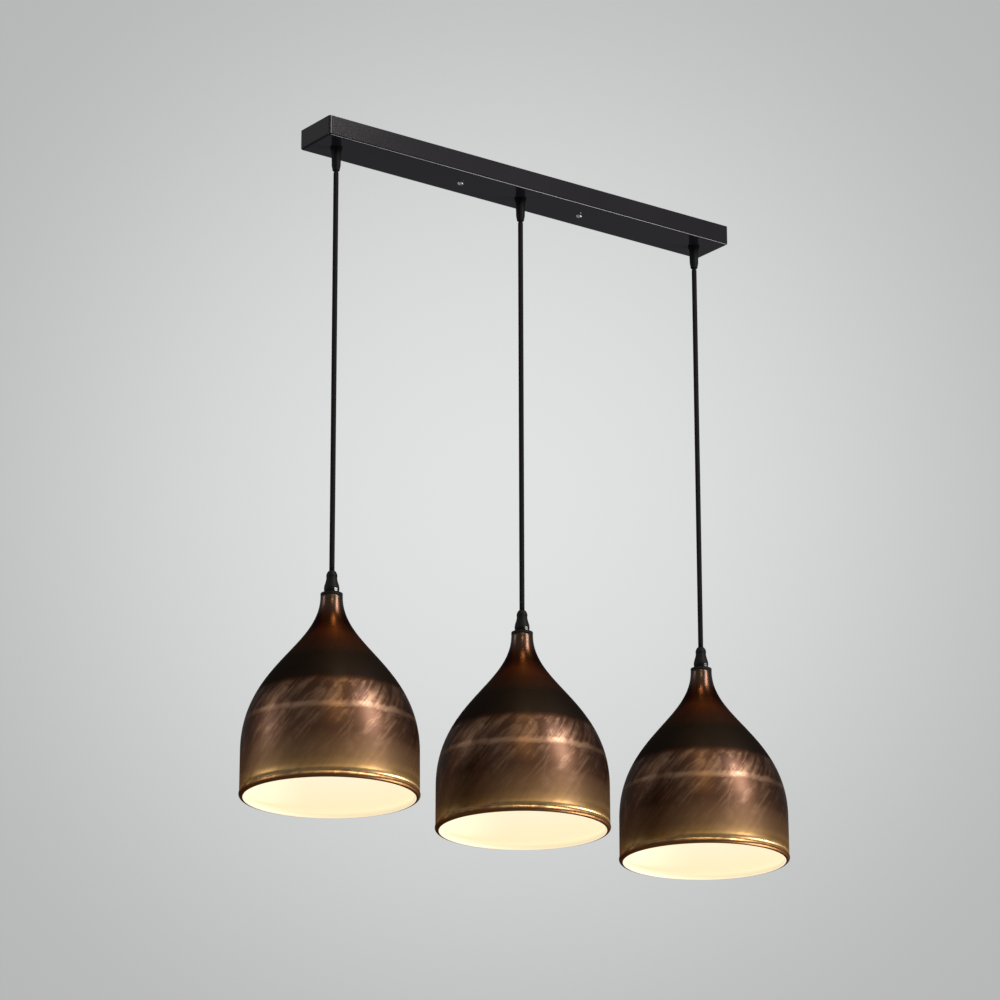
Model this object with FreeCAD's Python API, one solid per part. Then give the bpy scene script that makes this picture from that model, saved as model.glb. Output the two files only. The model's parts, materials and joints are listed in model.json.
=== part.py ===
import FreeCAD, Part
import math
import os

from FreeCAD import Vector

# Linear island pendant: a long ceiling canopy with three bell shades on cords.
# Millimetres. +Z is up, +X runs along the canopy, and the front is -Y.
# The origin is the middle of the mounting strap's top face, on the ceiling.

# ---- pendants ----
pendant_pitch = 265.0        # from one cord to the next
cord_drop = 510.0            # from the canopy's underside to the top of the lower grip
cord_radius = 3.0

# ---- canopy cover: a pressed tray, open side up ----
canopy_overhang = 30.0       # past each outer cord
canopy_length = 2 * (pendant_pitch + canopy_overhang)
canopy_width = 60.0
canopy_height = 24.0
canopy_sheet = 1.0
canopy_bend = 2.5            # outside radius of every bend

# ---- mounting strap on the ceiling ----
strap_length = 220.0
strap_width = 30.0
strap_sheet = 1.5
strap_corner = 4.0
slot_spacing = 120.0
slot_length = 20.0
slot_width = 5.2
supply_hole_radius = 6.0
cover_screw_spacing = 176.0
cover_screw_radius = 2.0
cover_screw_head_radius = 3.6
cover_screw_head_height = 2.4
cover_screw_head_round = 1.1
cover_screw_drive_width = 1.0
cover_screw_drive_reach = 2.2
cover_screw_drive_depth = 1.0
tapped_collar_radius = 3.4
tapped_collar_height = 2.5

# ---- canopy cord grip ----
stem_radius = 5.0            # M10 thread, also the nipple's
flange_radius = 7.0
flange_height = 2.0
sleeve_top_radius = 5.8
sleeve_low_radius = 5.2
sleeve_length = 20.0
mouth_radius = 4.1
mouth_taper = 6.0            # from the sleeve's end to the mouth
grip_bore_radius = 3.35
stem_height = 5.5            # above the cover's inner face
hex_flats = 14.0
nut_height = 3.0

# ---- terminal block and earth ----
block_centre_x = 27.0
pole_width = 10.0
pole_count = 3
block_depth = 18.0
block_height = 12.0
block_rib = 1.2              # width of the notch between two poles
block_notch = 2.4            # depth of the notch between two poles
clamp_radius = 2.6
clamp_bore_radius = 1.6
clamp_inset = 1.8            # from the block's face to the clamp's end
clamp_screw_radius = 1.5
clamp_screw_sink = 2.0
clamp_screw_slot = 0.6
earth_screw_x = -25.0
block_screw_x = 22.0         # between two poles
strap_screw_radius = 1.5
strap_screw_head_radius = 3.0
strap_screw_head_height = 2.0
wire_radius = 0.9
wire_ring = 1.45             # from the cord's axis to each wire's
wire_lane_y = -18.0
wire_lane_step = 2.4
wire_level = -5.0            # the left lamp's wires; the next lamp's lie a step lower
wire_level_step = 2.6
wire_entry = 2.0             # the last stretch, square to the block
tail_height = 9.0            # sheath's end, above the cover's inner face

# ---- lower cord grip ----
lower_grip_height = 26.0
lower_grip_foot_radius = 7.0
lower_grip_bulge_radius = 8.3
lower_grip_bulge_height = 8.5
lower_grip_waist_radius = 6.6
lower_grip_waist_height = 14.5
lower_grip_neck_radius = 6.3
lower_grip_neck_height = 20.0
lower_grip_crown_radius = 5.4
lower_grip_crown_height = 23.7
lower_grip_top_radius = 3.7
thread_depth = 8.0           # the nipple's length inside the grip
grip_screw_height = 3.0
grip_screw_seat = 7.1        # from the axis to the flat under the screw's head
grip_screw_radius = 1.5
grip_screw_head_radius = 2.2
grip_screw_head_height = 1.3
grip_screw_slot_width = 0.7
grip_screw_slot_depth = 0.9

# ---- shade ----
rim_radius = 100.0
shade_height = 234.0         # from the collar's top to the bottom of the rim
shade_wall = 1.2
neck_radius = 12.5
collar_height = 3.5
collar_round = 0.6
shoulder_radius = 99.1
shoulder_depth = 182.0       # below the collar's top
neck_draw = 60.0             # how far the neck runs straight on before it flares
shoulder_draw = 94.0         # the same for the shoulder, from the skirt upwards
bead_radius = 3.6            # the rolled rim's own section
bead_stand = 0.7             # how far the bead stands out past the wall
shade_hole_clearance = 0.2

# ---- nipple and nut ----
nipple_bore_radius = 3.5
nipple_reach = 50.0          # below the collar's top
washer_radius = 9.5
washer_height = 1.0

# ---- lampholder ----
holder_boss_radius = 8.0
holder_boss_height = 8.0
holder_radius = 20.0
holder_wall = 2.2
holder_dome_height = 10.0
holder_dome_bulge = 8.6      # the dome's fullest place: out from the boss, and down from its foot
holder_dome_sink = 3.0
holder_cap_skirt = 12.0
holder_body_length = 34.0
holder_floor = 5.0
holder_body_inset = 0.6      # from the body's foot up to the screw shell
holder_body_round = 0.9
shell_bore_radius = 13.6
shell_wall = 0.6
shell_length = 23.0
contact_reach = 7.5          # from the axis to the tongue's fixed end
contact_fold = 4.5           # where it leaves the floor
contact_bend = 1.5           # where it lies level again
contact_tip = 4.0            # past the axis
contact_width = 6.0
contact_thickness = 0.5
contact_rise = 3.4
wire_spread = 8.4            # from the axis to each wire's hole in the holder's floor
wire_slope = 2.0             # how far each wire comes down while it spreads out
wire_hole_depth = 3.1

# ---- bulb ----
cap_radius = 13.1
cap_wall = 0.4
cap_band = 2.0               # the plain band under the thread
thread_pitch = 3.6           # the bulb comes down by this much for each turn
thread_turns = 5
cap_groove = 0.7
cap_shoulder = 2.0
tip_radius = 4.8
tip_height = 3.5
end_contact_radius = 3.5
end_contact_height = 0.8
insulator_radius = 9.5
bulb_radius = 30.0
bulb_length = 106.0          # from the end contact to the far end of the glass
bulb_neck_radius = 13.6
glass_wall = 0.9
flank_lean = math.radians(28)    # how far the flank leans out where it meets the ball
flank_draw = 0.45                # the flank's handles, as a share of its height

# ---- clearances ----
fit = 0.1                    # between pieces that are fitted into each other
bend_clearance = 0.05        # round the cord's bend
arc_share = 0.45             # of a wire's run, for the arc at each of its ends
near = 1e-6                  # how far apart two equal levels may be worked out
overrun = 1.0                # of a cut past an open face

# ---- levels, worked out ----
underside = -canopy_height
inner_face = underside + canopy_sheet
grip_length = flange_height + sleeve_length + mouth_taper
mouth = underside - grip_length
tail_top = inner_face + tail_height
lower_grip_top = underside - cord_drop
collar_top = lower_grip_top - lower_grip_height
collar_foot = collar_top - collar_height
rim_bottom = collar_top - shade_height
plate_foot = collar_foot - shade_wall
nipple_top = collar_top + thread_depth
nipple_foot = collar_top - nipple_reach
holder_top = nipple_foot + holder_boss_height
dome_foot = nipple_foot - holder_dome_height
cap_foot = dome_foot - holder_cap_skirt
body_top = dome_foot - fit
body_foot = body_top - holder_body_length
floor_foot = body_top - holder_floor
wire_hole_foot = body_top - wire_hole_depth
shell_foot = body_foot + holder_body_inset
shell_top = shell_foot + shell_length
bulb_tip_top = floor_foot - contact_thickness - contact_rise - bend_clearance
cap_top = bulb_tip_top - tip_height
thread_top = cap_top - cap_shoulder
thread_foot = thread_top - thread_turns * thread_pitch
glass_top = thread_foot - cap_band
glass_foot = bulb_tip_top - bulb_length
bulb_centre = glass_foot + bulb_radius

pendants = {"left": -pendant_pitch, "centre": 0.0, "right": pendant_pitch}


def at(x, y, z):
    return Vector(x, y, z)


def cylinder(radius, low, high, x=0.0, y=0.0):
    return Part.makeCylinder(radius, high - low, at(x, y, low))


def ring(outer, inner, low, high, x=0.0, y=0.0):
    return cylinder(outer, low, high, x, y).cut(cylinder(inner, low, high, x, y))


def cone(low_radius, high_radius, low, high):
    return Part.makeCone(low_radius, high_radius, high - low, at(0, 0, low))


def box(x0, x1, y0, y1, z0, z1):
    return Part.makeBox(x1 - x0, y1 - y0, z1 - z0, at(x0, y0, z0))


def line(a, b):
    return Part.LineSegment(a, b).toShape()


def polyline(points):
    return [line(a, b) for a, b in zip(points, points[1:])]


def section(radius, z):
    """A point of a turned piece's outline: its radius and its level."""
    return at(radius, 0, z)


def turned(edges):
    """The closed outline, turned about the pendant's axis."""
    face = Part.Face(Part.Wire(edges))
    solid = face.revolve(at(0, 0, 0), at(0, 0, 1), 360)
    if solid.Volume < 0:
        solid.reverse()
    return solid


def turned_points(points):
    return turned(polyline(points + points[:1]))


def hexagon_nut(bore, low, high):
    corner = hex_flats / 2 / math.cos(math.pi / 6)
    points = [at(corner * math.cos(k * math.pi / 3), corner * math.sin(k * math.pi / 3), low)
              for k in range(7)]
    prism = Part.Face(Part.Wire(polyline(points))).extrude(at(0, 0, high - low))
    return prism.cut(cylinder(bore, low, high))


def tube(points, radius):
    """A round tube along straight runs joined by tangent arcs, each as large as its two runs allow.

    No three points in a row may lie on one line.
    """
    edges = []
    start = points[0]
    for before, corner, after in zip(points, points[1:], points[2:]):
        into = corner.sub(before)
        out = after.sub(corner)
        reach = arc_share * min(into.Length, out.Length)
        into.normalize()
        out.normalize()
        half_turn = into.getAngle(out) / 2
        bend = reach / math.tan(half_turn)
        entry = corner.sub(into * reach)
        leave = corner.add(out * reach)
        inward = out.sub(into)
        inward.normalize()
        middle = corner.add(inward * (bend / math.cos(half_turn) - bend))
        edges.append(line(start, entry))
        edges.append(Part.Arc(entry, middle, leave).toShape())
        start = leave
    edges.append(line(start, points[-1]))
    path = Part.Wire(edges)
    heading = points[1].sub(points[0])
    disc = Part.Wire(Part.Circle(points[0], heading, radius).toShape())
    solid = path.makePipeShell([disc], True, False)
    if solid.Volume < 0:
        solid.reverse()
    return solid


def export(name, *solids):
    shape = solids[0] if len(solids) == 1 else Part.makeCompound(list(solids))
    shape.exportStep("parts/" + name + ".step")


def for_each_pendant(solid):
    return [solid.translated(at(x, 0, 0)) for x in pendants.values()]


# ---- canopy ----

def rounded_tray(length, width, low, high, corner):
    """A block with its upright edges and its bottom edges rounded."""
    block = box(-length / 2, length / 2, -width / 2, width / 2, low, high)
    upright = [e for e in block.Edges if abs(e.Vertexes[0].Z - e.Vertexes[1].Z) > near]
    block = block.makeFillet(corner, upright)
    bottom = [e for e in block.Edges if all(abs(v.Z - low) < near for v in e.Vertexes)]
    return block.makeFillet(corner, bottom)


def canopy_cover():
    outside = rounded_tray(canopy_length, canopy_width, underside, 0.0, canopy_bend)
    hollow = rounded_tray(canopy_length - 2 * canopy_sheet, canopy_width - 2 * canopy_sheet,
                          inner_face, overrun, canopy_bend - canopy_sheet)
    cover = outside.cut(hollow)
    for x in pendants.values():
        cover = cover.cut(cylinder(stem_radius + fit, underside, inner_face, x))
    for x in screw_places():
        cover = cover.cut(cylinder(cover_screw_radius + fit, underside, inner_face, x))
    return cover


def screw_places():
    return [-cover_screw_spacing / 2, cover_screw_spacing / 2]


def slot(x):
    straight = slot_length / 2 - slot_width / 2
    middle = box(x - straight, x + straight, -slot_width / 2, slot_width / 2, -strap_sheet, 0)
    ends = [cylinder(slot_width / 2, -strap_sheet, 0, x + side * straight) for side in (-1, 1)]
    return middle.fuse(ends).removeSplitter()


def mounting_strap():
    strap = box(-strap_length / 2, strap_length / 2, -strap_width / 2, strap_width / 2, -strap_sheet, 0)
    upright = [e for e in strap.Edges if abs(e.Vertexes[0].Z - e.Vertexes[1].Z) > near]
    strap = strap.makeFillet(strap_corner, upright)
    collar_end = -strap_sheet - tapped_collar_height
    for x in screw_places():
        strap = strap.fuse(cylinder(tapped_collar_radius, collar_end, -strap_sheet, x))
    strap = strap.removeSplitter()
    for x in screw_places():
        strap = strap.cut(cylinder(cover_screw_radius + fit, -canopy_height, 0, x))
    for x in (-slot_spacing / 2, slot_spacing / 2):
        strap = strap.cut(slot(x))
    strap = strap.cut(cylinder(supply_hole_radius, -strap_sheet, 0))
    for x in (earth_screw_x, block_screw_x):
        strap = strap.cut(cylinder(strap_screw_radius + fit, -strap_sheet, 0, x))
    return strap


def cover_screw(x):
    head_foot = underside - cover_screw_head_height
    head = cylinder(cover_screw_head_radius, head_foot, underside, x)
    rim = [e for e in head.Edges if abs(e.BoundBox.ZMax - head_foot) < near]
    head = head.makeFillet(cover_screw_head_round, rim)
    screw = head.fuse(cylinder(cover_screw_radius, underside, -strap_sheet / 2, x)).removeSplitter()
    half = cover_screw_drive_width / 2
    reach = cover_screw_drive_reach
    deep = head_foot + cover_screw_drive_depth
    cross = box(x - reach, x + reach, -half, half, head_foot, deep)
    cross = cross.fuse(box(x - half, x + half, -reach, reach, head_foot, deep))
    return screw.cut(cross)


def canopy_grip():
    sleeve_top = underside - flange_height
    sleeve_foot = sleeve_top - sleeve_length
    stem_top = inner_face + stem_height
    points = [section(grip_bore_radius, mouth), section(mouth_radius, mouth),
              section(sleeve_low_radius, sleeve_foot), section(sleeve_top_radius, sleeve_top),
              section(flange_radius, sleeve_top), section(flange_radius, underside),
              section(stem_radius, underside), section(stem_radius, stem_top),
              section(grip_bore_radius, stem_top)]
    return turned_points(points)


def grip_nut():
    return hexagon_nut(stem_radius + fit, inner_face, inner_face + nut_height)


def cord_tail():
    return cylinder(cord_radius, mouth + cord_radius + bend_clearance, tail_top)


# ---- terminal block, earth and wires ----

def pole_places():
    middle = (pole_count - 1) / 2
    return [block_centre_x + (k - middle) * pole_width for k in range(pole_count)]


block_top = -strap_sheet
block_foot = block_top - block_height
pole_level = (block_top + block_foot) / 2


def terminal_block():
    half = pole_count * pole_width / 2
    block = box(block_centre_x - half, block_centre_x + half, -block_depth / 2, block_depth / 2,
                block_foot, block_top)
    for x in pole_places():
        across = Part.makeCylinder(clamp_radius + fit, block_depth, at(x, -block_depth / 2, pole_level),
                                   at(0, 1, 0))
        block = block.cut(across)
        for y in clamp_screw_places():
            block = block.cut(cylinder(clamp_screw_radius + fit, block_foot, pole_level, x, y))
    block = block.cut(cylinder(strap_screw_radius + fit, block_foot, block_top, block_screw_x))
    for x in pole_places()[:-1]:
        gap = x + pole_width / 2
        for side in (-1, 1):
            edge = side * block_depth / 2
            notch_y = sorted((edge, edge - side * block_notch))
            block = block.cut(box(gap - block_rib / 2, gap + block_rib / 2, notch_y[0], notch_y[1],
                                  block_foot, block_top))
    return block


def clamp_screw_places():
    return [-block_depth / 4, block_depth / 4]


def terminal_clamp(x):
    length = block_depth - 2 * clamp_inset
    clamp = Part.makeCylinder(clamp_radius, length, at(x, -length / 2, pole_level), at(0, 1, 0))
    clamp = clamp.cut(Part.makeCylinder(clamp_bore_radius, length, at(x, -length / 2, pole_level),
                                        at(0, 1, 0)))
    for y in clamp_screw_places():
        clamp = clamp.cut(cylinder(clamp_screw_radius + fit, block_foot, pole_level, x, y))
    return clamp


def clamp_screw(x, y):
    foot = block_foot + clamp_screw_sink
    screw = cylinder(clamp_screw_radius, foot, pole_level - clamp_bore_radius + clamp_screw_slot, x, y)
    half = clamp_screw_slot / 2
    return screw.cut(box(x - clamp_screw_radius, x + clamp_screw_radius, y - half, y + half,
                         foot, foot + clamp_screw_slot))


def strap_screw(x, seat_level):
    """A small pan-head screw that goes up into the strap from a seat below it."""
    head = cylinder(strap_screw_head_radius, seat_level - strap_screw_head_height, seat_level, x)
    return head.fuse(cylinder(strap_screw_radius, seat_level, -strap_sheet / 2, x)).removeSplitter()


def lamp_wire(x, pole, order):
    """One wire from a cord's tail to its pole: the poles have lanes and the lamps have levels.

    The wire that turns off first takes the lane nearest the block, so that none crosses another.
    """
    spread = 2 * wire_radius + fit
    end_x = pole_places()[pole] + (order - 1) * spread
    heading = 1 if end_x > x else -1
    rank = pole if heading > 0 else pole_count - 1 - pole
    start_x = x + heading * (1 - rank) * spread
    lane = wire_lane_y - wire_lane_step * rank
    level = wire_level - wire_level_step * order
    entry_y = -block_depth / 2 - wire_entry
    return tube([at(start_x, 0, tail_top),
                 at(start_x, 0, level),
                 at(start_x, lane, level),
                 at(end_x, lane, level),
                 at(end_x, (entry_y + wire_lane_y) / 2, level),
                 at(end_x, entry_y, pole_level),
                 at(end_x, entry_y + wire_entry, pole_level)], wire_radius)


# ---- one pendant, on the Z axis ----

def cord_bend():
    return Part.makeSphere(cord_radius - bend_clearance, at(0, 0, mouth))


def free_cord():
    return cylinder(cord_radius, lower_grip_top, mouth - cord_radius - bend_clearance)


def lower_grip():
    foot = collar_top
    bore_foot = nipple_top + fit
    shoulder = section(lower_grip_neck_radius, foot + lower_grip_neck_height)
    crown = section(lower_grip_top_radius, lower_grip_top)
    crown_middle = section(lower_grip_crown_radius, foot + lower_grip_crown_height)
    waist = Part.BSplineCurve()
    waist.interpolate([section(lower_grip_foot_radius, foot),
                       section(lower_grip_bulge_radius, foot + lower_grip_bulge_height),
                       section(lower_grip_waist_radius, foot + lower_grip_waist_height),
                       shoulder])
    edges = [waist.toShape(), Part.Arc(shoulder, crown_middle, crown).toShape()]
    edges += polyline([crown, section(cord_radius + fit, lower_grip_top),
                       section(cord_radius + fit, bore_foot),
                       section(stem_radius + fit, bore_foot),
                       section(stem_radius + fit, foot),
                       section(lower_grip_foot_radius, foot)])
    grip = turned(edges)
    level = foot + grip_screw_height
    outside = lower_grip_bulge_radius + overrun
    grip = grip.cut(forward_cylinder(grip_screw_radius + fit, 0.0, outside, level))
    return grip.cut(forward_cylinder(grip_screw_head_radius + fit, grip_screw_seat, outside, level))


def forward_cylinder(radius, start, end, z):
    """A cylinder that points to the front, from one distance in front of the axis to another."""
    return Part.makeCylinder(radius, end - start, at(0, -start, z), at(0, -1, 0))


def grip_screw():
    level = collar_top + grip_screw_height
    face = grip_screw_seat + grip_screw_head_height
    shank = forward_cylinder(grip_screw_radius, stem_radius + fit, grip_screw_seat, level)
    head = forward_cylinder(grip_screw_head_radius, grip_screw_seat, face, level)
    half = grip_screw_slot_width / 2
    drive = box(-grip_screw_head_radius, grip_screw_head_radius, -face, grip_screw_slot_depth - face,
                level - half, level + half)
    return head.fuse(shank).removeSplitter().cut(drive)


def neck_collar():
    collar = ring(neck_radius, stem_radius + fit, collar_foot, collar_top)
    rims = [e for e in collar.Edges
            if isinstance(e.Curve, Part.Circle) and abs(e.Curve.Radius - neck_radius) < near]
    return collar.makeFillet(collar_round, rims)


def nipple():
    return ring(stem_radius, nipple_bore_radius, nipple_foot, nipple_top)


def shade_nuts():
    """The washer and the nut that carry the shade, and the lock nut on the lampholder's boss."""
    washer = ring(washer_radius, stem_radius + fit, plate_foot - washer_height, plate_foot)
    nut_top = plate_foot - washer_height
    nut = hexagon_nut(stem_radius + fit, nut_top - nut_height, nut_top)
    lock = hexagon_nut(stem_radius + fit, holder_top, holder_top + nut_height)
    return washer, nut, lock


def bell_curve(wall):
    """The shade's flare and shoulder in one curve, upright at both ends, moved in by the wall."""
    top = section(neck_radius - wall, collar_foot - wall)
    low = section(shoulder_radius - wall, collar_top - shoulder_depth)
    handles = [top, top.sub(at(0, 0, neck_draw)), low.add(at(0, 0, shoulder_draw)), low]
    curve = Part.BezierCurve()
    curve.setPoles(handles)
    return curve.toShape()


def shade():
    hole = stem_radius + shade_hole_clearance
    bead_centre = rim_bottom + bead_radius
    skirt_radius = rim_radius - bead_stand
    outer_low = section(shoulder_radius, collar_top - shoulder_depth)
    inner_low = section(shoulder_radius - shade_wall, collar_top - shoulder_depth)
    skirt_foot = section(skirt_radius, bead_centre)
    skirt_inner = section(skirt_radius - shade_wall, bead_centre)
    edges = polyline([section(hole, collar_foot), section(neck_radius, collar_foot)])
    edges.append(bell_curve(0.0))
    edges += polyline([outer_low, skirt_foot, skirt_inner, inner_low])
    edges.append(bell_curve(shade_wall))
    edges += polyline([section(neck_radius - shade_wall, plate_foot), section(hole, plate_foot),
                       section(hole, collar_foot)])
    wall = turned(edges)
    bead = Part.makeTorus(rim_radius - bead_radius, bead_radius, at(0, 0, bead_centre))
    return wall.fuse(bead).removeSplitter()


def inner_cord():
    """The cord inside the lower grip and the nipple, and its three wires down to the holder's floor."""
    sheath = cylinder(cord_radius, nipple_foot + fit, lower_grip_top)
    wires = []
    for near_x, near_y in around(wire_ring):
        far_x = near_x * wire_spread / wire_ring
        far_y = near_y * wire_spread / wire_ring
        middle = (nipple_foot + body_top) / 2
        wires.append(tube([at(near_x, near_y, nipple_foot + fit),
                           at(near_x, near_y, middle + wire_slope / 2),
                           at(far_x, far_y, middle - wire_slope / 2),
                           at(far_x, far_y, wire_hole_foot)], wire_radius))
    return [sheath] + wires


def around(distance):
    """Three places evenly round the axis, one for each wire."""
    turns = [math.radians(90 + 120 * k) for k in range(pole_count)]
    return [(distance * math.cos(t), distance * math.sin(t)) for t in turns]


def dome_arc(inset):
    """The holder's shoulder, from the boss out to the skirt, moved in by the wall."""
    start = section(holder_boss_radius - inset, nipple_foot - inset)
    side = section(holder_radius - inset, dome_foot)
    bulge = holder_dome_bulge - inset
    middle = section(start.x + bulge, nipple_foot - holder_dome_sink - inset)
    return start, Part.Arc(start, middle, side).toShape(), side


def holder_cap():
    start, dome, side = dome_arc(0.0)
    inner_start, inner_dome, inner_side = dome_arc(holder_wall)
    bore = stem_radius + fit
    edges = polyline([section(bore, holder_top), section(holder_boss_radius, holder_top), start])
    edges.append(dome)
    edges += polyline([side, section(holder_radius, cap_foot),
                       section(holder_radius - holder_wall, cap_foot), inner_side])
    edges.append(inner_dome)
    edges += polyline([inner_start, section(bore, inner_start.z), section(bore, holder_top)])
    return turned(edges)


def holder_body():
    outer = holder_radius - holder_wall - fit
    inner = shell_bore_radius + shell_wall + fit
    body = cylinder(outer, body_foot, body_top)
    body = body.cut(cylinder(inner, body_foot, floor_foot))
    rims = [e for e in body.Edges if isinstance(e.Curve, Part.Circle)
            and abs(e.Curve.Radius - outer) < near and abs(e.Curve.Center.z - body_foot) < near]
    body = body.makeFillet(holder_body_round, rims)
    for x, y in around(wire_spread):
        body = body.cut(cylinder(wire_radius + fit, wire_hole_foot, body_top, x, y))
    return body


def screw_shell():
    return ring(shell_bore_radius + shell_wall, shell_bore_radius, shell_foot, shell_top)


def holder_contact():
    """A spring tongue on the holder's floor, bent down so that it meets the bulb's end contact."""
    upper = [at(contact_reach, 0, floor_foot),
             at(contact_fold, 0, floor_foot),
             at(contact_bend, 0, floor_foot - contact_rise),
             at(-contact_tip, 0, floor_foot - contact_rise)]
    lower = [p.sub(at(0, 0, contact_thickness)) for p in reversed(upper)]
    face = Part.Face(Part.Wire(polyline(upper + lower + upper[:1])))
    return face.extrude(at(0, contact_width, 0)).translated(at(0, -contact_width / 2, 0))


def bulb_cap():
    """The bulb's screw cap: a thin shell with its thread in rounded rings, open towards the glass."""
    root = cap_radius - cap_groove
    inner = root - cap_wall
    edges = polyline([section(inner, glass_top), section(cap_radius, glass_top),
                      section(cap_radius, thread_foot)])
    for k in range(thread_turns):
        z = thread_foot + k * thread_pitch
        edges.append(Part.Arc(section(cap_radius, z), section(root, z + thread_pitch / 2),
                              section(cap_radius, z + thread_pitch)).toShape())
    edges += polyline([section(cap_radius, thread_top), section(insulator_radius, cap_top),
                       section(tip_radius + fit, cap_top), section(tip_radius + fit, cap_top - cap_wall),
                       section(insulator_radius - cap_wall, cap_top - cap_wall),
                       section(inner, thread_top - cap_wall),
                       section(inner, glass_top)])
    return turned(edges)


def bulb_tip():
    """The dark insulator bead with the end contact on it."""
    contact_foot = bulb_tip_top - end_contact_height
    bead = cone(tip_radius, end_contact_radius, cap_top - cap_wall, contact_foot)
    contact = cylinder(end_contact_radius, contact_foot, bulb_tip_top)
    return bead.fuse(contact).removeSplitter()


def bulb_outline(inset):
    """Half of the glass's outline, moved in by the wall: the neck, the flank and the ball."""
    ball = bulb_radius - inset
    neck_top = section(bulb_neck_radius - inset, glass_top)
    touch = section(ball * math.cos(flank_lean), bulb_centre + ball * math.sin(flank_lean))
    side = section(ball * math.cos(flank_lean), bulb_centre - ball * math.sin(flank_lean))
    end = section(0, bulb_centre - ball)
    draw = (neck_top.z - touch.z) * flank_draw
    flank = Part.BezierCurve()
    flank.setPoles([neck_top, neck_top.sub(at(0, 0, draw)),
                    touch.add(at(-draw * math.sin(flank_lean), 0, draw * math.cos(flank_lean))), touch])
    return neck_top, flank.toShape(), Part.Arc(touch, side, end).toShape(), end


def bulb_glass():
    outer_top, outer_flank, outer_ball, outer_end = bulb_outline(0.0)
    inner_top, inner_flank, inner_ball, inner_end = bulb_outline(glass_wall)
    return turned([outer_flank, outer_ball, line(outer_end, inner_end), inner_ball, inner_flank,
                   line(inner_top, outer_top)])


def write_canopy():
    export("canopy_cover", canopy_cover())
    export("mounting_strap", mounting_strap())
    export("cover_screws", *[cover_screw(x) for x in screw_places()])
    export("canopy_grips", *for_each_pendant(canopy_grip()))
    export("grip_nuts", *for_each_pendant(grip_nut()))
    export("cord_tails", *for_each_pendant(cord_tail()))
    export("terminal_block", terminal_block())
    clamps = [terminal_clamp(x) for x in pole_places()]
    screws = [clamp_screw(x, y) for x in pole_places() for y in clamp_screw_places()]
    export("terminal_clamps", *(clamps + screws))
    export("strap_screws", strap_screw(earth_screw_x, -strap_sheet), strap_screw(block_screw_x, block_foot))
    for pole, name in enumerate(("live", "neutral", "earth")):
        wires = [lamp_wire(x, pole, order) for order, x in enumerate(pendants.values())]
        export(name + "_wires", *wires)


def write_pendant(name, x):
    pieces = {
        "cord_bend": [cord_bend()],
        "cord": [free_cord()],
        "lower_grip": [lower_grip()],
        "grip_screw": [grip_screw()],
        "neck_collar": [neck_collar()],
        "nipple": [nipple()],
        "shade_nuts": list(shade_nuts()),
        "shade": [shade()],
        "inner_cord": inner_cord(),
        "holder_cap": [holder_cap()],
        "holder_body": [holder_body()],
        "screw_shell": [screw_shell()],
        "holder_contact": [holder_contact()],
        "bulb_cap": [bulb_cap()],
        "bulb_tip": [bulb_tip()],
        "bulb_glass": [bulb_glass()],
    }
    for piece, solids in pieces.items():
        export(name + "_" + piece, *[s.translated(at(x, 0, 0)) for s in solids])


os.makedirs("parts", exist_ok=True)
write_canopy()
for pendant, place in pendants.items():
    write_pendant(pendant, place)
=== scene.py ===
import json
import math

import bpy
import numpy as np
from mathutils import Matrix, Vector


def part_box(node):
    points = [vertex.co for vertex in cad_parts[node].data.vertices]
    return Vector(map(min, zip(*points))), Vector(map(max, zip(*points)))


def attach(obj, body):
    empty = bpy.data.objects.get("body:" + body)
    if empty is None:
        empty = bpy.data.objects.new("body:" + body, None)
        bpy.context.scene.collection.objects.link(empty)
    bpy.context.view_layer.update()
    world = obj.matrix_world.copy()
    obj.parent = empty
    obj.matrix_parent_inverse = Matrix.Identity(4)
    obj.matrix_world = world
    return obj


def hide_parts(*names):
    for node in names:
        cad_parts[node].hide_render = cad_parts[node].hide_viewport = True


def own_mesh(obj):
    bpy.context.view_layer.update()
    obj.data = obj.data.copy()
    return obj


# Linear island pendant: the looks. Metres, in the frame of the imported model.
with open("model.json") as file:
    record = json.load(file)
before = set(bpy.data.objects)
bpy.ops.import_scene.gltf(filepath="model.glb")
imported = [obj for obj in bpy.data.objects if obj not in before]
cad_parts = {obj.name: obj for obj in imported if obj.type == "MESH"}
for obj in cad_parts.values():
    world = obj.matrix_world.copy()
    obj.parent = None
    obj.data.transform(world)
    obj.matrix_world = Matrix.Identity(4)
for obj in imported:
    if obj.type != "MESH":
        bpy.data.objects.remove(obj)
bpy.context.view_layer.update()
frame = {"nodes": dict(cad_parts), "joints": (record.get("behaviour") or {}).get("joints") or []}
scene = bpy.context.scene
scene.view_settings.view_transform = "Standard"
print("frame loaded:", len(frame["nodes"]), "nodes")

sideNames = ["left", "centre", "right"]


# camera
cameraSetup = {
    "place": (-2.785, -3.7168, -1.8972),
    "turn": 36.535,          # degrees, from +Y towards +X
    "tilt": 17.867,          # degrees above the horizon
    "lean": -0.133,          # degrees about the line of sight
    "lens": 151.2,           # millimetres
    "sensor": 36.0,          # millimetres wide
    "reach": 100,            # metres that it sees
}


def lineOfSight(setup):
    turn = math.radians(setup["turn"])
    tilt = math.radians(setup["tilt"])
    return Vector((math.sin(turn) * math.cos(tilt), math.cos(turn) * math.cos(tilt), math.sin(tilt)))


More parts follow.
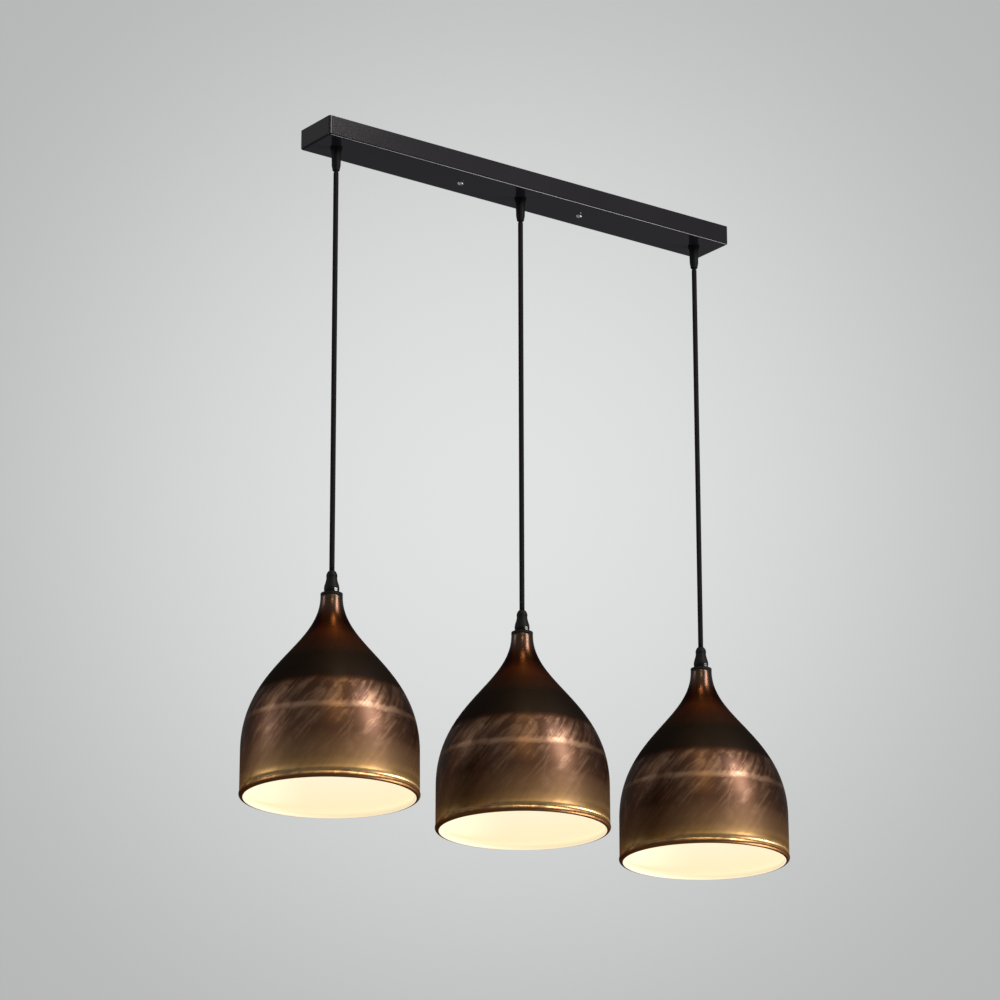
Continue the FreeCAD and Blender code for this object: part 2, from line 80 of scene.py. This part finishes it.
def addCamera(setup):
    turn = math.radians(setup["turn"])
    lean = math.radians(setup["lean"])
    ahead = lineOfSight(setup)
    right = Vector((math.cos(turn), -math.sin(turn), 0))
    up = right.cross(ahead)
    leanRight = right * math.cos(lean) + up * math.sin(lean)
    leanUp = up * math.cos(lean) - right * math.sin(lean)
    data = bpy.data.cameras.new("photoCamera")
    data.sensor_width = setup["sensor"]
    data.lens = setup["lens"]
    data.clip_end = setup["reach"]
    camera = bpy.data.objects.new("photoCamera", data)
    axes = Matrix((leanRight, leanUp, -ahead)).transposed().to_4x4()
    camera.matrix_world = Matrix.Translation(setup["place"]) @ axes
    scene.collection.objects.link(camera)
    scene.camera = camera


addCamera(cameraSetup)
print("camera set")


# shader maths: an expression on these values adds its own nodes
class Value:
    def __init__(self, sheet, socket):
        self.sheet = sheet
        self.socket = socket

    def maths(self, operation, *others):
        return self.sheet.node("ShaderNodeMath", {"operation": operation}, [self, *others])

    def __add__(self, other):
        return self.maths("ADD", other)

    __radd__ = __add__

    def __sub__(self, other):
        return self.maths("SUBTRACT", other)

    def __rsub__(self, other):
        return (self * -1.0) + other

    def __mul__(self, other):
        return self.maths("MULTIPLY", other)

    def __truediv__(self, other):
        return self.maths("DIVIDE", other)

    def __pow__(self, other):
        return self.maths("POWER", other)

    def clip(self):
        return self.sheet.node("ShaderNodeClamp", {}, {"Value": self})

    # smoothly from 0 at low to 1 at high
    def step(self, low, high):
        return self.sheet.node("ShaderNodeMapRange", {"interpolation_type": "SMOOTHSTEP"},
                               {"Value": self, "From Min": low, "From Max": high})

    # the same, between two distances from a place
    def fade(self, place, distances):
        return self.step(place + distances[0], place + distances[1])

    # a noise's departure from its mean, times an amount
    def about(self, amount):
        return (self - 0.5) * amount


class Sheet:
    def __init__(self, owner):
        owner.use_nodes = True
        self.owner = owner
        self.tree = owner.node_tree
        self.tree.nodes.clear()

    def node(self, kind, settings, inputs, output=0):
        made = self.tree.nodes.new(kind)
        for key, setting in settings.items():
            if key == "stops":
                self.setStops(made.color_ramp, setting)
            else:
                setattr(made, key, setting)
        pairs = inputs.items() if isinstance(inputs, dict) else enumerate(inputs)
        for key, given in pairs:
            if isinstance(given, Value):
                self.tree.links.new(given.socket, made.inputs[key])
            else:
                made.inputs[key].default_value = given
        return Value(self, made.outputs[output])

    def setStops(self, ramp, stops):
        while len(ramp.elements) < len(stops):
            ramp.elements.new(1.0)
        for element, (place, colour) in zip(ramp.elements, stops):
            element.position = place
            element.color = (*colour, 1.0)

    def ramp(self, share, stops):
        return self.node("ShaderNodeValToRGB", {"stops": stops}, [share])

    def parts(self, vector):
        made = self.tree.nodes.new("ShaderNodeSeparateXYZ")
        self.tree.links.new(vector.socket, made.inputs[0])
        return [Value(self, output) for output in made.outputs]

    def mix(self, share, first, second):
        return self.node("ShaderNodeMix", {"data_type": "RGBA"},
                         {"Factor": share, 6: self.full(first), 7: self.full(second)}, 2)

    def full(self, colour):
        return colour if isinstance(colour, Value) else (*colour, 1.0)

    def noise(self, place, scale, detail, roughness=0.5, distortion=0.0):
        return self.node("ShaderNodeTexNoise", {},
                         {"Vector": place, "Scale": scale, "Detail": detail, "Roughness": roughness,
                          "Distortion": distortion})

    def bump(self, height, strength, distance):
        return self.node("ShaderNodeBump", {}, {"Strength": strength, "Distance": distance, "Height": height})

    # of a turned piece: the turn as a share of the circle, and the depth
    def turnAndDepth(self):
        return self.parts(self.node("ShaderNodeUVMap", {"uv_map": "UVMap"}, {}))[:2]

    def objectPlace(self):
        return self.node("ShaderNodeTexCoord", {}, {}, "Object")

    def show(self, shader, ending):
        end = self.tree.nodes.new(ending)
        self.tree.links.new(shader.socket, end.inputs["Surface"])
        return self.owner

    def finish(self, inputs):
        shader = self.node("ShaderNodeBsdfPrincipled", {}, inputs)
        return self.show(shader, "ShaderNodeOutputMaterial")


def newSheet(name):
    return Sheet(bpy.data.materials.new(name))


# surfaces
def smoothMesh(name, points, faces, uvs):
    mesh = bpy.data.meshes.new(name)
    mesh.from_pydata(points, [], faces)
    layer = mesh.uv_layers.new(name="UVMap")
    layer.data.foreach_set("uv", uvs.ravel())
    mesh.polygons.foreach_set("use_smooth", np.ones(len(mesh.polygons), bool))
    mesh.update()
    return mesh


# the four-sided faces of a grid that closes on itself both ways
def gridFaces(rows, columns):
    i, j = np.meshgrid(np.arange(rows), np.arange(columns), indexing="ij")
    nextRow = (i + 1) % rows
    nextColumn = (j + 1) % columns
    corners = [(i, j), (i, nextColumn), (nextRow, nextColumn), (nextRow, j)]
    return np.stack([row * columns + column for row, column in corners], -1).reshape(-1, 4)


# a closed outline of radius and height, turned about an upright axis: every place is
# (radius * cos turn, radius * sin turn, height). U is the turn and V the depth below the highest place
def turnedPiece(name, outline, centre, steps, material, body):
    outline = np.asarray(outline, float)
    turn = np.linspace(0, 2 * math.pi, steps, endpoint=False)
    rows = len(outline)
    points = np.empty((rows, steps, 3))
    points[..., 0] = centre[0] + outline[:, :1] * np.cos(turn)
    points[..., 1] = centre[1] + outline[:, :1] * np.sin(turn)
    points[..., 2] = outline[:, 1:]
    faces = gridFaces(rows, steps)
    row, column = np.divmod(faces, steps)
    u = column / steps
    u[:, 1:3] = np.where(column[:, 1:3] == 0, 1.0, u[:, 1:3])
    v = outline[:, 1].max() - outline[row, 1]
    mesh = smoothMesh(name, points.reshape(-1, 3).tolist(), faces.tolist(), np.stack([u, v], -1))
    return placed(name, mesh, material, body)


# a node's lowest and highest corners, and where its upright axis stands
def boxAndAxis(node):
    low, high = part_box(node)
    return low, high, ((low.x + high.x) / 2, (low.y + high.y) / 2)


def placed(name, mesh, material, body):
    piece = bpy.data.objects.new(name, mesh)
    scene.collection.objects.link(piece)
    mesh.materials.append(material)
    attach(piece, body)
    return piece


# a cubic curve: its places are the four points weighted by the cubic Bernstein shares
def bezier(start, startHandle, endHandle, end, count):
    t = np.linspace(0, 1, count)[:, None]
    a, b, c, d = (np.array(p, float) for p in (start, startHandle, endHandle, end))
    return a * (1 - t) ** 3 + 3 * b * t * (1 - t) ** 2 + 3 * c * t ** 2 * (1 - t) + d * t ** 3


# part of a circle: centre + radius * (cos angle, sin angle), with the angle in degrees
def arc(centre, radius, startAngle, endAngle, count):
    angle = np.radians(np.linspace(startAngle, endAngle, count))
    return np.array(centre) + radius * np.stack([np.cos(angle), np.sin(angle)], -1)


# shades
shadeForm = {
    "neckRadius": 0.0125,
    "shoulderRadius": 0.0991,
    "shoulderDepth": 0.1785,     # below the shade's top
    "neckDraw": 0.060,           # lengths of the flare's two handles
    "shoulderDraw": 0.094,
    "flareSteps": 72,
    "skirtSteps": 12,
    "beadRadius": 0.0036,        # of the rolled rim
    "beadStand": 0.0007,         # how far it stands out from the skirt's foot
    "roll": (62, -242),          # degrees: the roll's start outside and its end inside
    "rollSteps": 32,
    "wall": 0.0010,
    "lining": 0.0003,            # from the wall to its seen face
    "liningBack": 0.3,           # the share of it to its hidden face
    "coverEnd": -104,            # degrees: the lining's end on the rolled rim
    "coverSteps": 16,
    "holeRadius": 0.0055,
    "steps": 192,                # round the shade
}
copperLook = {
    "height": 0.2305,
    "tones": [                   # share of the height from the top down, then the colour there
        (0.00, (0.030, 0.015, 0.008)),
        (0.07, (0.040, 0.016, 0.008)),
        (0.15, (0.030, 0.010, 0.004)),
        (0.21, (0.066, 0.021, 0.007)),
        (0.27, (0.034, 0.012, 0.006)),
        (0.35, (0.013, 0.009, 0.006)),
        (0.485, (0.012, 0.008, 0.006)),
        (0.505, (0.036, 0.016, 0.009)),
        (0.62, (0.046, 0.021, 0.012)),
        (0.76, (0.062, 0.030, 0.017)),
        # from here to the rim the tones grow lighter and golden: partly the skirt's own tone, partly a
        # painted glow of light
        (0.84, (0.100, 0.055, 0.030)),
        (0.90, (0.130, 0.075, 0.037)),
        (0.935, (0.195, 0.115, 0.048)),
        # a bright band just above the rolled rim: a painted highlight line
        (0.956, (0.360, 0.220, 0.086)),
        (0.966, (0.620, 0.410, 0.190)),
        (0.976, (0.500, 0.320, 0.145)),
        (0.986, (0.210, 0.096, 0.035)),
        (1.00, (0.210, 0.094, 0.034)),
    ],
    "worn": (0.20, 0.118, 0.076),
    # ridge: the colour of a lighter line painted round the shade as a highlight
    "ridgeHighlight": (0.25, 0.150, 0.098),
    "edgeTint": (0.16, 0.10, 0.07, 1.0),
    "neckFade": (0.006, 0.028),  # depths between which each zone starts or ends
    "flareFade": (0.030, 0.075),
    "rimFade": (0.212, 0.222),
    "bandTop": 0.1145,
    "bandRise": (0.0, 0.006),    # distances from the band's top, its foot and the ridge's line
    "bandFoot": 0.178,
    "bandFall": (-0.012, 0.020),
    "skirtRise": (-0.010, 0.020),
    # the depth, rise and fall of that painted highlight line round the shade
    "ridgeHighlightDepth": 0.1475,
    "ridgeHighlightRise": (-0.005, -0.001),
    "ridgeHighlightFall": (0.001, 0.005),
    # how far each noise shifts the depth, how strongly it wears the copper, where the painted highlight line
    # breaks, and how bare each zone gets or, for that line, how strongly its painted highlight shows
    "ragged": {"strokes": 0.008, "rings": 0.004, "patches": 0.006},
    "wear": {"start": 0.46, "strokes": 3.0, "scratches": 1.2, "patches": 3.0},
    "ridgeHighlightGaps": {"patches": 2.2, "start": 0.55},
    "bared": {"band": 0.75, "ridgeHighlight": 0.7, "skirt": 0.45},
    # the plain roughness and what each zone adds to it: band, rim and wear take theirs off
    "dull": {"plain": 0.24, "flare": 0.30, "skirt": 0.02, "band": 0.14, "rim": 0.18, "rings": 0.10,
             "wear": 0.04},
    "relief": {"strokes": 0.5, "scratches": 0.5, "rings": 0.25, "strength": 0.35, "distance": 0.0004},
    "coat": {"plain": 0.02, "band": 0.10, "neck": 0.35, "roughness": 0.30},
    "metallic": 0.97,
}
# each noise on the copper is read from a cylinder: across is its radius, down the scale along its axis, and
# slant the radians by which a place turns for each metre of depth
copperNoises = {
    "strokes": {"slant": 7.2, "across": 4.0, "down": 9.0,
                "noise": {"scale": 1.6, "detail": 5.0, "roughness": 0.60, "distortion": 0.9}},
    "scratches": {"slant": 9.36, "across": 16.0, "down": 18.0,
                  "noise": {"scale": 1.5, "detail": 3.0, "roughness": 0.6, "distortion": 0.5}},
    "patches": {"slant": 3.6, "across": 2.2, "down": 22.0,
                "noise": {"scale": 1.3, "detail": 4.0, "roughness": 0.62, "distortion": 0.6}},
    "rings": {"slant": 0.0, "across": 0.8, "down": 170.0,
              "noise": {"scale": 1.0, "detail": 3.0, "roughness": 0.55}},
}
# the lining's emission is painted light: it stands in for the bulb's light on the white paint, brighter up
# near the bulb and dimmer towards the rim
liningWithPaintedLight = {
    "near": (1.00, 0.865, 0.70),
    "far": (1.00, 0.82, 0.50),
    "fade": (0.15, 0.235),       # depths between which near turns to far
    "paint": (0.30, 0.28, 0.23, 1.0),
    "roughness": 0.5,
    "strength": 0.76,
}


# the tones go down the shade in rings, lighter and golden towards the rim, partly the copper's own tone and
# partly a painted glow, with a painted highlight line just above the rolled rim and a lighter painted
# highlight ring higher up; slanted strokes wear the band above the skirt to bare copper, and the skirt more
# faintly
def agedCopper():
    look = copperLook
    sheet = newSheet("agedCopper")
    turnShare, depth = sheet.turnAndDepth()
    turn = turnShare * (2 * math.pi)
    noises = []
    for given in copperNoises.values():
        angle = turn + depth * given["slant"]
        place = sheet.node("ShaderNodeCombineXYZ", {},
                           [angle.maths("COSINE") * given["across"], angle.maths("SINE") * given["across"],
                            depth * given["down"]])
        noises.append(sheet.noise(place, **given["noise"]))
    strokes, scratches, patches, rings = noises
    uneven = look["ragged"]
    ragged = depth + strokes.about(uneven["strokes"]) + rings.about(uneven["rings"])
    bandEnd = ragged.fade(look["bandFoot"], look["bandFall"])
    band = ragged.fade(look["bandTop"], look["bandRise"]) * (1 - bandEnd)
    # a painted highlight line round the shade, broken in patches
    ridgeHighlightEnd = ragged.fade(look["ridgeHighlightDepth"], look["ridgeHighlightFall"])
    ridgeHighlight = ragged.fade(look["ridgeHighlightDepth"], look["ridgeHighlightRise"]) * (1 - ridgeHighlightEnd)
    skirt = depth.fade(look["bandFoot"], look["skirtRise"])
    worn = look["wear"]
    wear = ((strokes - worn["start"]) * worn["strokes"] + scratches.about(worn["scratches"])
            + patches.about(worn["patches"])).clip()
    ridgeHighlightGaps = (patches * look["ridgeHighlightGaps"]["patches"] - look["ridgeHighlightGaps"]["start"]).clip()
    bared = look["bared"]
    colour = sheet.ramp((ragged + patches.about(uneven["patches"])) / look["height"], look["tones"])
    colour = sheet.mix(band * wear * bared["band"], colour, look["worn"])
    colour = sheet.mix(ridgeHighlight * ridgeHighlightGaps * bared["ridgeHighlight"], colour, look["ridgeHighlight"])
    colour = sheet.mix(skirt * wear * bared["skirt"], colour, look["worn"])
    dull = look["dull"]
    roughness = depth.step(*look["flareFade"]) * dull["flare"] + skirt * dull["skirt"] - band * dull["band"]
    roughness = roughness - depth.step(*look["rimFade"]) * dull["rim"] + dull["plain"]
    roughness = roughness + rings.about(dull["rings"]) - wear * band * dull["wear"]
    relief = look["relief"]
    height = strokes * relief["strokes"] + scratches * relief["scratches"] + rings * relief["rings"]
    coat = look["coat"]
    coatWeight = band * coat["band"] + coat["plain"] + (1 - depth.step(*look["neckFade"])) * coat["neck"]
    return sheet.finish({"Base Color": colour, "Metallic": look["metallic"], "Roughness": roughness,
                         "Specular Tint": look["edgeTint"], "Coat Weight": coatWeight,
                         "Coat Roughness": coat["roughness"],
                         "Normal": sheet.bump(height, relief["strength"], relief["distance"])})


def whiteLiningWithPaintedLight():
    look = liningWithPaintedLight
    sheet = newSheet("whiteLiningWithPaintedLight")
    depth = sheet.turnAndDepth()[1]
    # painted light from the bulb on the lining, fading from near to far
    glow = sheet.mix(depth.step(*look["fade"]), look["near"], look["far"])
    speckle = sheet.noise(sheet.objectPlace(), scale=900.0, detail=2.0)
    return sheet.finish({"Base Color": look["paint"], "Roughness": look["roughness"], "Emission Color": glow,
                         "Emission Strength": look["strength"],
                         "Normal": sheet.bump(speckle, strength=0.15, distance=0.0002)})


# the shade's side as one line of radius and height: the neck's flare and the shoulder, then the skirt
def shadeLine(form, top, low, rim, inset):
    shoulder = top - form["shoulderDepth"]
    radius = form["shoulderRadius"] - inset
    flare = bezier((form["neckRadius"] - inset, top - inset),
                   (form["neckRadius"] - inset, top - inset - form["neckDraw"]),
                   (radius, shoulder + form["shoulderDraw"]), (radius, shoulder), form["flareSteps"])
    foot = (rim - form["beadStand"] - inset, low + form["beadRadius"] * 2)
    skirt = np.linspace((radius, shoulder), foot, form["skirtSteps"])[1:]
    return np.concatenate([flare, skirt])


def addShade(side, copper, white):
    form = shadeForm
    low, high, centre = boxAndAxis(side + "_shade")
    rim = (high.x - low.x) / 2
    bead = form["beadRadius"]
    beadCentre = (rim - bead, low.z + bead)
    wall = form["wall"]
    hole = form["holeRadius"]

    def line(inset):
        return shadeLine(form, high.z, low.z, rim, inset)

    roll = arc(beadCentre, bead, *form["roll"], form["rollSteps"])
    outline = np.concatenate([[(hole, high.z)], line(0.0), roll, line(wall)[::-1], [(hole, high.z - wall)]])
    shell = turnedPiece(side + "ShadeShell", outline, centre, form["steps"], copper, side + "_lamp")
    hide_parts(side + "_shade")

    # the lining goes down the wall inside, then round the inner half of the rolled rim
    def liningFace(cover):
        turnIn = arc(beadCentre, bead + cover, form["roll"][1], form["coverEnd"], form["coverSteps"])
        return np.concatenate([line(wall + cover), turnIn])

    skin = liningFace(form["lining"])
    back = liningFace(form["lining"] * form["liningBack"])
    outline = np.concatenate([[(hole, back[0, 1])], back, skin[::-1], [(hole, skin[0, 1])]])
    lining = turnedPiece(side + "ShadeLining", outline, centre, form["steps"], white, side + "_lamp")


copper = agedCopper()
white = whiteLiningWithPaintedLight()
for side in sideNames:
    addShade(side, copper, white)
print("shades made")


# cords
cordForm = {
    "radius": 0.003,
    "sides": 24,
    "rings": 60,
    "poleRadius": 0.0002,        # of the small closed ends
    "throat": (0.0022, 0.0020),  # radius and depth below the pivot at which the cord leaves its ball
    "collar": 0.0027,            # depth at which it is full: tilted by 41 degrees, it clears the grip
    "endGap": 0.00005,           # above the inner cord
}


def cordSkin():
    sheet = newSheet("cordSkin")
    grain = sheet.noise(sheet.objectPlace(), scale=700.0, detail=2.0)
    tone = sheet.mix(grain, (0.004, 0.004, 0.0045), (0.007, 0.007, 0.0075))
    return sheet.finish({"Base Color": tone, "Roughness": 0.65 + grain * 0.1, "Specular IOR Level": 0.04,
                         "Normal": sheet.bump(grain, strength=0.05, distance=0.0001)})


def jointNamed(name):
    return next(joint for joint in frame["joints"] if joint["name"] == name)


def addCord(side, material):
    form = cordForm
    low, high, centre = boxAndAxis(side + "_cord")
    top = jointNamed(side + "_sway")["pos_m"][2]
    throat, depth = form["throat"]
    start = top - form["collar"]
    foot = low.z + form["endGap"]
    heights = np.linspace(start, foot, form["rings"])
    radius = np.full(form["rings"], form["radius"])
    pole = form["poleRadius"]
    outline = np.concatenate([[(pole, top - depth), (throat, top - depth)],
                              np.stack([radius, heights], -1), [(pole, foot)]])
    piece = turnedPiece(side + "Cord", outline, centre, form["sides"], material, side + "_drop")
    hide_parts(side + "_cord")
    length = top - low.z
    lift = jointNamed(side + "_height")["range_m"][1]
    1 - lift / (start - foot)
    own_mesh(piece)


cordBlack = cordSkin()
for side in sideNames:
    addCord(side, cordBlack)
print("cords made")


# finishes of the carried-over pieces
def semiGlossBlack():
    sheet = newSheet("semiGlossBlack")
    place = sheet.objectPlace()
    peel = sheet.noise(place, scale=260.0, detail=2.0)
    cloud = sheet.noise(place, scale=9.0, detail=3.0)
    tone = sheet.mix(cloud, (0.0040, 0.0036, 0.0052), (0.0065, 0.0058, 0.0085))
    return sheet.finish({"Base Color": tone, "Roughness": 0.11 + cloud * 0.05, "Specular IOR Level": 0.20,
                         "Normal": sheet.bump(peel, strength=0.04, distance=0.0003)})


def moulded(name, dark, light, roughness, shine=0.5):
    sheet = newSheet(name)
    grain = sheet.noise(sheet.objectPlace(), scale=500.0, detail=3.0)
    return sheet.finish({"Base Color": sheet.mix(grain, dark, light), "Roughness": roughness + grain * 0.08,
                         "Specular IOR Level": shine,
                         "Normal": sheet.bump(grain, strength=0.08, distance=0.0001)})


def plainMetal(name, dark, light, roughness):
    sheet = newSheet(name)
    cloud = sheet.noise(sheet.objectPlace(), scale=120.0, detail=4.0)
    return sheet.finish({"Base Color": sheet.mix(cloud, dark, light), "Metallic": 1.0,
                         "Roughness": roughness + cloud * 0.15,
                         "Normal": sheet.bump(cloud, strength=0.1, distance=0.0002)})


def frostedGlass():
    sheet = newSheet("frostedGlass")
    cloud = sheet.noise(sheet.objectPlace(), scale=60.0, detail=2.0)
    glow = sheet.mix(cloud, (1.0, 0.88, 0.62), (1.0, 0.93, 0.72))
    return sheet.finish({"Base Color": (0.8, 0.78, 0.7, 1.0), "Roughness": 0.35, "Emission Color": glow,
                         "Emission Strength": 1.0})


canopyPaint = semiGlossBlack()
gripPlastic = moulded("gripPlastic", (0.003, 0.003, 0.0035), (0.005, 0.005, 0.0055), 0.50, 0.06)
collarBlack = moulded("collarBlack", (0.003, 0.003, 0.003), (0.006, 0.005, 0.005), 0.60, 0.08)
zincSteel = plainMetal("zincSteel", (0.42, 0.42, 0.41), (0.60, 0.60, 0.58), 0.32)
darkScrew = plainMetal("darkScrew", (0.10, 0.10, 0.10), (0.20, 0.20, 0.19), 0.30)
brightScrew = plainMetal("brightScrew", (0.62, 0.62, 0.62), (0.80, 0.80, 0.80), 0.25)
brassBright = plainMetal("brassBright", (0.55, 0.38, 0.16), (0.72, 0.54, 0.26), 0.28)
capMetal = plainMetal("capMetal", (0.55, 0.55, 0.54), (0.72, 0.72, 0.70), 0.3)
blockWhite = moulded("blockWhite", (0.62, 0.62, 0.58), (0.72, 0.72, 0.68), 0.4)
wireBrown = moulded("wireBrown", (0.13, 0.05, 0.02), (0.18, 0.07, 0.03), 0.4)
wireBlue = moulded("wireBlue", (0.02, 0.09, 0.36), (0.03, 0.12, 0.44), 0.4)
wireGreen = moulded("wireGreen", (0.16, 0.34, 0.04), (0.24, 0.44, 0.06), 0.4)
porcelain = moulded("porcelain", (0.72, 0.71, 0.67), (0.80, 0.79, 0.75), 0.2)
holderDark = moulded("holderDark", (0.016, 0.016, 0.016), (0.026, 0.026, 0.026), 0.35)
tipDark = moulded("tipDark", (0.010, 0.010, 0.010), (0.020, 0.020, 0.020), 0.2)
bulbGlass = frostedGlass()

canopyFinish = {
    "canopy_cover": canopyPaint, "mounting_strap": zincSteel, "cover_screws": brightScrew,
    "canopy_grips": gripPlastic, "grip_nuts": zincSteel, "cord_tails": cordBlack,
    "terminal_block": blockWhite, "terminal_clamps": brassBright, "strap_screws": zincSteel,
    "live_wires": wireBrown, "neutral_wires": wireBlue, "earth_wires": wireGreen,
}
lampFinish = {
    "cord_bend": cordBlack, "cord": cordBlack, "lower_grip": gripPlastic, "grip_screw": darkScrew,
    "neck_collar": collarBlack, "nipple": zincSteel, "shade_nuts": zincSteel, "shade": copper,
    "inner_cord": cordBlack, "holder_cap": holderDark, "holder_body": porcelain, "screw_shell": brassBright,
    "holder_contact": brassBright, "bulb_cap": capMetal, "bulb_tip": tipDark, "bulb_glass": bulbGlass,
}


def finishNode(node, material):
    mesh = frame["nodes"][node].data
    mesh.materials.clear()
    mesh.materials.append(material)


for node, material in canopyFinish.items():
    finishNode(node, material)
for side in sideNames:
    for node, material in lampFinish.items():
        finishNode(side + "_" + node, material)
print("finishes set")


# room: soft lights and a pale world; the photograph shows no floor
room = {
    "groundTone": (0.17, 0.17, 0.175),
    "edgeTone": (0.475, 0.482, 0.478),
    "middleTone": (0.750, 0.768, 0.762),
    "cornerCosine": 0.986,
    "falloff": 2.0,
    "horizon": (-0.20, 0.05),    # the ray's rises between which the ground's tone turns to the wall's
    "ambient": 0.40,
}
# key stands in front on the right, side behind on the left and below under the lamp; warm and high stand in
# front and put the golden glow and line on the rims
lightAim = (0, 0, -0.65)
lights = {
    "key": {"place": (1.44, -3.94, 2.07), "size": (1.0, 3.4), "power": 370, "tone": (1.0, 0.96, 0.90)},
    "side": {"place": (-2.3, 1.2, 0.1), "size": (0.6, 1.4), "power": 18, "tone": (1.0, 0.98, 0.95)},
    "below": {"place": (1.70, -0.92, -2.30), "size": (1.1, 1.1), "power": 80, "tone": (0.98, 0.97, 1.0)},
    "warm": {"place": (-1.12, -1.88, 0.62), "size": (0.4, 0.25), "power": 9, "tone": (1.0, 0.74, 0.34)},
    "high": {"place": (-0.34, -0.67, 1.30), "size": (0.35, 0.35), "power": 10, "tone": (1.0, 0.80, 0.45)},
}


def addLights(aim):
    for name, light in lights.items():
        data = bpy.data.lights.new(name, "AREA")
        data.shape = "RECTANGLE"
        data.size, data.size_y = light["size"]
        data.energy = light["power"]
        data.color = light["tone"]
        lamp = bpy.data.objects.new(name, data)
        lamp.location = light["place"]
        lamp.rotation_mode = "QUATERNION"
        lamp.rotation_quaternion = (aim - lamp.location).to_track_quat("-Z", "Y")
        scene.collection.objects.link(lamp)


# the pale room is brightest straight ahead: its share is a power of how far the ray's cosine with the line
# of sight lies between the corner's and 1. Below the horizon it fades to the ground's tone. Diffuse rays see
# a plain white sky instead
def setWorld():
    scene.world = bpy.data.worlds.new("paleRoom")
    sheet = Sheet(scene.world)
    ahead = lineOfSight(cameraSetup)
    place = sheet.node("ShaderNodeTexCoord", {}, {}, "Generated")
    along = sheet.node("ShaderNodeVectorMath", {"operation": "DOT_PRODUCT"}, [place, ahead], "Value")
    share = ((along - room["cornerCosine"]) / (1 - room["cornerCosine"])).clip() ** room["falloff"]
    wall = sheet.mix(share, room["edgeTone"], room["middleTone"])
    level = sheet.parts(place)[2].step(*room["horizon"])
    pale = sheet.node("ShaderNodeBackground", {}, [sheet.mix(level, room["groundTone"], wall)])
    plain = sheet.node("ShaderNodeBackground", {}, [(1.0, 1.0, 1.0, 1.0), room["ambient"]])
    shown = 0.0
    for ray in ("Is Camera Ray", "Is Glossy Ray", "Is Transmission Ray"):
        shown = sheet.node("ShaderNodeLightPath", {}, {}, ray) + shown
    sheet.show(sheet.node("ShaderNodeMixShader", {}, [shown.clip(), plain, pale]), "ShaderNodeOutputWorld")


addLights(Vector(lightAim))
setWorld()
print("room lit")
